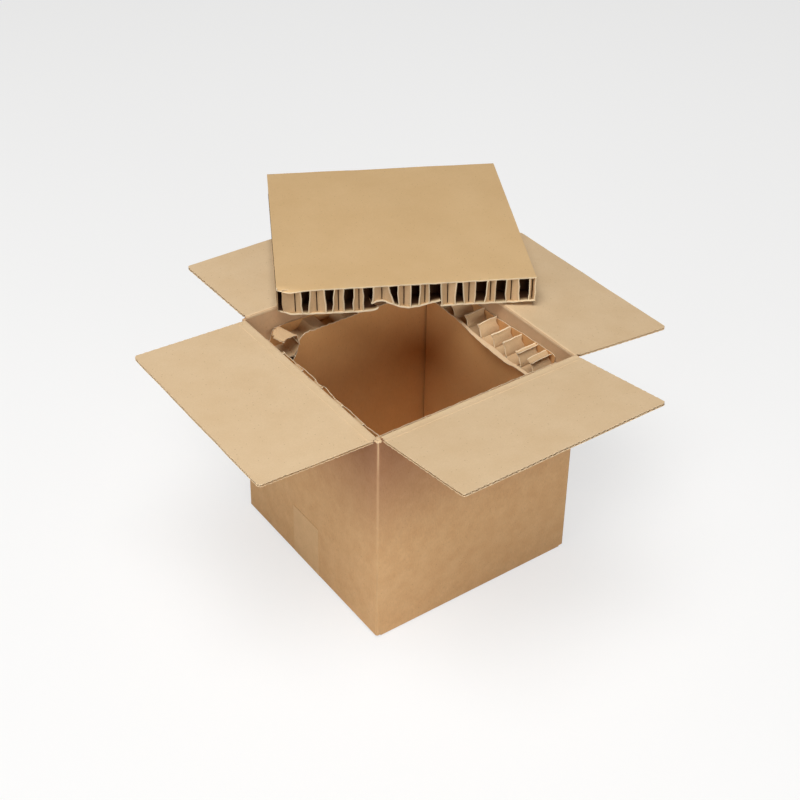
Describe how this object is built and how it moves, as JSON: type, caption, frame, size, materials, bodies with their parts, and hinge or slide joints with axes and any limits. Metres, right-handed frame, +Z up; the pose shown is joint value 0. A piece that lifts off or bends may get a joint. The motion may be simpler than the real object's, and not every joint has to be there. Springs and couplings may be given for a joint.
{
  "type": "insulated shipping box",
  "caption": "Open corrugated shipping carton lined with paper honeycomb board, its flaps folded out and a loose honeycomb cover pad lying across the back of the opening.",
  "frame": {"origin": "middle of the carton's base, on the underside of the bottom tape", "axes": "+Z up; +X along the front wall to the right; the front wall is at -Y, the left wall, which shows the end of the tape, is at -X"},
  "size_m": [0.5359, 0.6047, 0.2905],
  "materials": {
    "corrugated_board": "matt kraft liner, lighter on the inside of the flaps",
    "paper_tape": "smooth kraft gummed tape",
    "facing_paper": "matt yellowish kraft with faint streaks",
    "ribbon_paper": "matt kraft with torn and crushed cut edges"
  },
  "bodies": {
    "carton": {"carton_body": "corrugated_board", "bottom_tape": "paper_tape", "bottom_pad": "facing_paper", "front_liner_inner_sheet": "facing_paper", "front_liner_core": "ribbon_paper", "front_liner_outer_sheet": "facing_paper", "back_liner_inner_sheet": "facing_paper", "back_liner_core": "ribbon_paper", "back_liner_outer_sheet": "facing_paper", "left_liner_inner_sheet": "facing_paper", "left_liner_core": "ribbon_paper", "left_liner_outer_sheet": "facing_paper", "right_liner_inner_sheet": "facing_paper", "right_liner_core": "ribbon_paper", "right_liner_outer_sheet": "facing_paper"},
    "front_flap": {"front_flap": "corrugated_board"},
    "back_flap": {"back_flap": "corrugated_board", "cover_pad_bottom_sheet": "facing_paper", "cover_pad_core": "ribbon_paper", "cover_pad_top_sheet": "facing_paper"},
    "left_flap": {"left_flap": "corrugated_board"},
    "right_flap": {"right_flap": "corrugated_board"}
  },
  "joints": [
    {"name": "front_flap_hinge", "type": "hinge", "parent": "carton", "child": "front_flap", "pos_m": [0, -0.1287, 0.2585], "axis": [-1, 0, 0], "range_deg": [-96.2, 81.8]},
    {"name": "back_flap_hinge", "type": "hinge", "parent": "carton", "child": "back_flap", "pos_m": [0, 0.1287, 0.2585], "axis": [1, 0, 0], "range_deg": [-86.8, 0]},
    {"name": "left_flap_hinge", "type": "hinge", "parent": "carton", "child": "left_flap", "pos_m": [-0.1267, 0, 0.2555], "axis": [0, 1, 0], "range_deg": [-89.6, 88.4]},
    {"name": "right_flap_hinge", "type": "hinge", "parent": "carton", "child": "right_flap", "pos_m": [0.1267, 0, 0.2555], "axis": [0, -1, 0], "range_deg": [-82.1, 5.9]}
  ]
}
